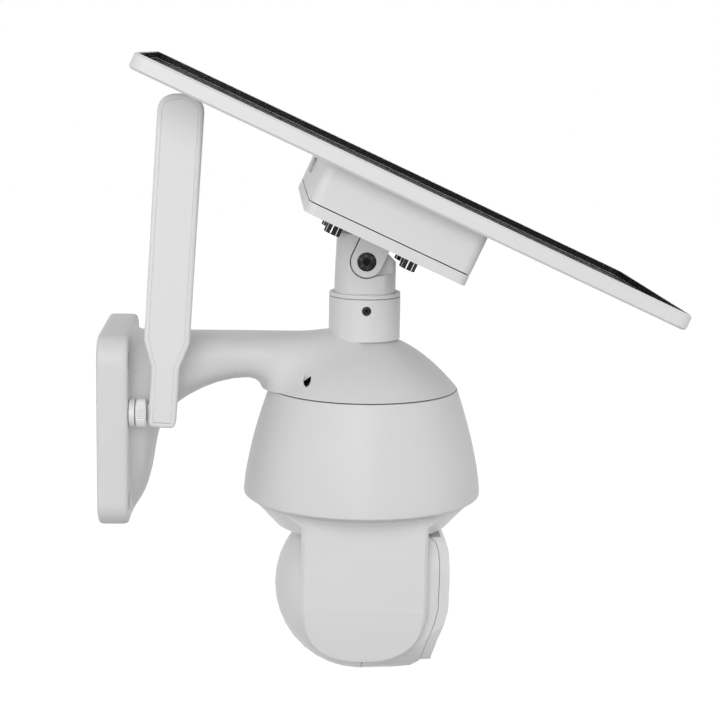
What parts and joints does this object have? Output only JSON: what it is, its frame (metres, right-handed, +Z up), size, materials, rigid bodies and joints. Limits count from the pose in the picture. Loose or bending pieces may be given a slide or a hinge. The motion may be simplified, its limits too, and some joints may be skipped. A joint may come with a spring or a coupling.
{
  "type": "solar security camera",
  "caption": "Wall-mounted pan and tilt camera: arm with a bell housing, ball head in a yoke below, and a tilting solar panel with battery box and paddle antenna above.",
  "frame": {"origin": "middle of the wall plate's back face, on the wall", "axes": "+X away from the wall along the arm, +Z up, Y across the wall"},
  "size_m": [0.3295, 0.206, 0.3699],
  "materials": {
    "white_plastic": "satin white moulding",
    "grey_plastic": "matt",
    "black_plastic": "glossy",
    "seal_rubber": "matt",
    "steel": "satin",
    "black_steel": "black oxide",
    "brass": "plain",
    "glass": "clear",
    "solar_cells": "dark cells on a laminate",
    "circuit_board": "solder mask",
    "cell_wrap": "shrink wrap",
    "nylon": "natural"
  },
  "bodies": {
    "wall_mount": {"wall_bracket": "white_plastic", "collar_ring": "white_plastic", "cap_screw_near": "black_steel", "cap_screw_far": "black_steel", "set_screw": "black_steel", "bell_housing": "white_plastic", "seam_gasket": "seal_rubber", "bell_base": "grey_plastic", "pan_bearing": "steel", "pan_motor": "steel", "speaker": "black_plastic", "main_board": "circuit_board", "antenna_jack": "white_plastic"},
    "panel_post": {"hinge_post": "white_plastic"},
    "panel": {"hinge_bracket": "white_plastic", "bracket_screw_1": "black_steel", "bracket_screw_2": "black_steel", "bracket_screw_3": "black_steel", "bracket_screw_4": "black_steel", "pivot_bolt": "black_steel", "pivot_nut": "black_steel", "battery_cover": "white_plastic", "battery_box": "white_plastic", "battery_cell_1": "cell_wrap", "battery_cell_2": "cell_wrap", "battery_cell_3": "cell_wrap", "battery_cell_4": "cell_wrap", "battery_cell_5": "cell_wrap", "battery_cell_6": "cell_wrap", "charge_board": "circuit_board", "panel_frame": "white_plastic", "solar_laminate": "solar_cells", "panel_glass": "glass"},
    "power_button": {"power_button": "grey_plastic"},
    "turntable": {"pan_yoke": "white_plastic", "pan_gear": "nylon", "tilt_gear": "nylon"},
    "pan_pinion": {"pan_pinion": "brass"},
    "head": {"head_rear_shell": "white_plastic", "head_front_shell": "white_plastic", "front_bezel": "white_plastic", "front_window": "black_plastic", "lens_barrel": "black_plastic", "lens_glass": "glass", "lamp_1": "glass", "lamp_2": "glass", "lamp_3": "glass", "lamp_4": "glass", "lamp_board": "circuit_board", "sensor_board": "circuit_board", "motion_lens": "white_plastic", "tilt_bushing_near": "nylon", "tilt_bushing_far": "nylon", "tilt_motor": "steel"},
    "tilt_pinion": {"tilt_pinion": "brass"},
    "antenna_swivel": {"antenna_nut": "white_plastic", "antenna_knuckle": "white_plastic"},
    "antenna_blade": {"antenna_blade": "white_plastic", "antenna_pin": "steel"}
  },
  "joints": [
    {"name": "panel_pan", "type": "hinge", "parent": "wall_mount", "child": "panel_post", "pos_m": [0.155, 0, 0.0957], "axis": [0, 0, 1], "range_deg": [-3, 12]},
    {"name": "panel_tilt", "type": "hinge", "parent": "panel_post", "child": "panel", "pos_m": [0.155, 0, 0.0957], "axis": [0, 1, 0], "range_deg": [0, 20]},
    {"name": "power_button", "type": "slide", "parent": "panel", "child": "power_button", "axis": [0.91, 0, -0.4147], "range_m": [0, 0.0012], "stiffness_N_per_m": 900, "springref_m": -0.0004},
    {"name": "camera_pan", "type": "hinge", "parent": "wall_mount", "child": "turntable", "pos_m": [0.155, 0, -0.1029], "axis": [0, 0, 1], "range_deg": [-170, 170]},
    {"name": "pan_pinion_spin", "type": "hinge", "parent": "wall_mount", "child": "pan_pinion", "pos_m": [0.19125, 0, -0.0172], "axis": [0, 0, 1], "range_deg": [-515, 515]},
    {"name": "camera_tilt", "type": "hinge", "parent": "turntable", "child": "head", "pos_m": [0.155, 0, -0.1029], "axis": [0, 1, 0], "range_deg": [-3, 80]},
    {"name": "tilt_pinion_spin", "type": "hinge", "parent": "head", "child": "tilt_pinion", "pos_m": [0.155, 0, -0.12715], "axis": [0, 1, 0], "range_deg": [-10, 135]},
    {"name": "antenna_swivel", "type": "hinge", "parent": "wall_mount", "child": "antenna_swivel", "pos_m": [0.018, -0.044, 0.0107], "axis": [1, 0, 0], "range_deg": [0, 180]},
    {"name": "antenna_fold", "type": "hinge", "parent": "antenna_swivel", "child": "antenna_blade", "pos_m": [0.0374, -0.044, 0.0107], "axis": [0, 1, 0], "range_deg": [-5, 1]}
  ],
  "couplings": [
    {"joint": "pan_pinion_spin", "follows": "camera_pan", "ratio": -3},
    {"joint": "tilt_pinion_spin", "follows": "camera_tilt", "ratio": 1.6667}
  ]
}
